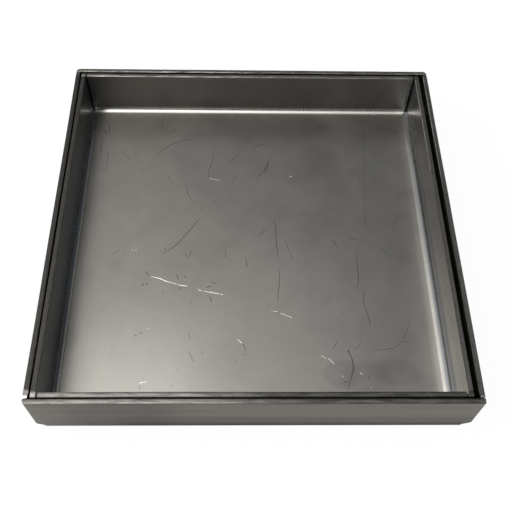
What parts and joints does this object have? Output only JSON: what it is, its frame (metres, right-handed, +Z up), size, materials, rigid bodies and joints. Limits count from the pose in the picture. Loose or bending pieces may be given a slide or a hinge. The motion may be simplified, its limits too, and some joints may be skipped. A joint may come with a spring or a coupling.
{
  "type": "recessed inspection cover with frame",
  "caption": "Square recessed inspection cover: an open folded steel tray, to be filled with paving or tile, resting flush on the seat flange of a folded steel frame.",
  "frame": {"origin": "middle of the frame's underside", "axes": "+Z up, out of the open tray; +X to the right along the front wall; +Y from the front wall to the back wall"},
  "size_m": [0.25, 0.25, 0.04],
  "materials": {
    "frame_sheet": "cold-rolled stainless sheet with a satin mill finish and raw cut edges",
    "tray_sheet": "cold-rolled stainless sheet with a satin mill finish, scratched on the floor",
    "weld_metal": "weld metal ground flush and bright"
  },
  "bodies": {
    "root": {"frame": "frame_sheet", "frame_corner_welds": "weld_metal", "tray": "tray_sheet", "tray_corner_welds": "weld_metal"}
  },
  "joints": []
}
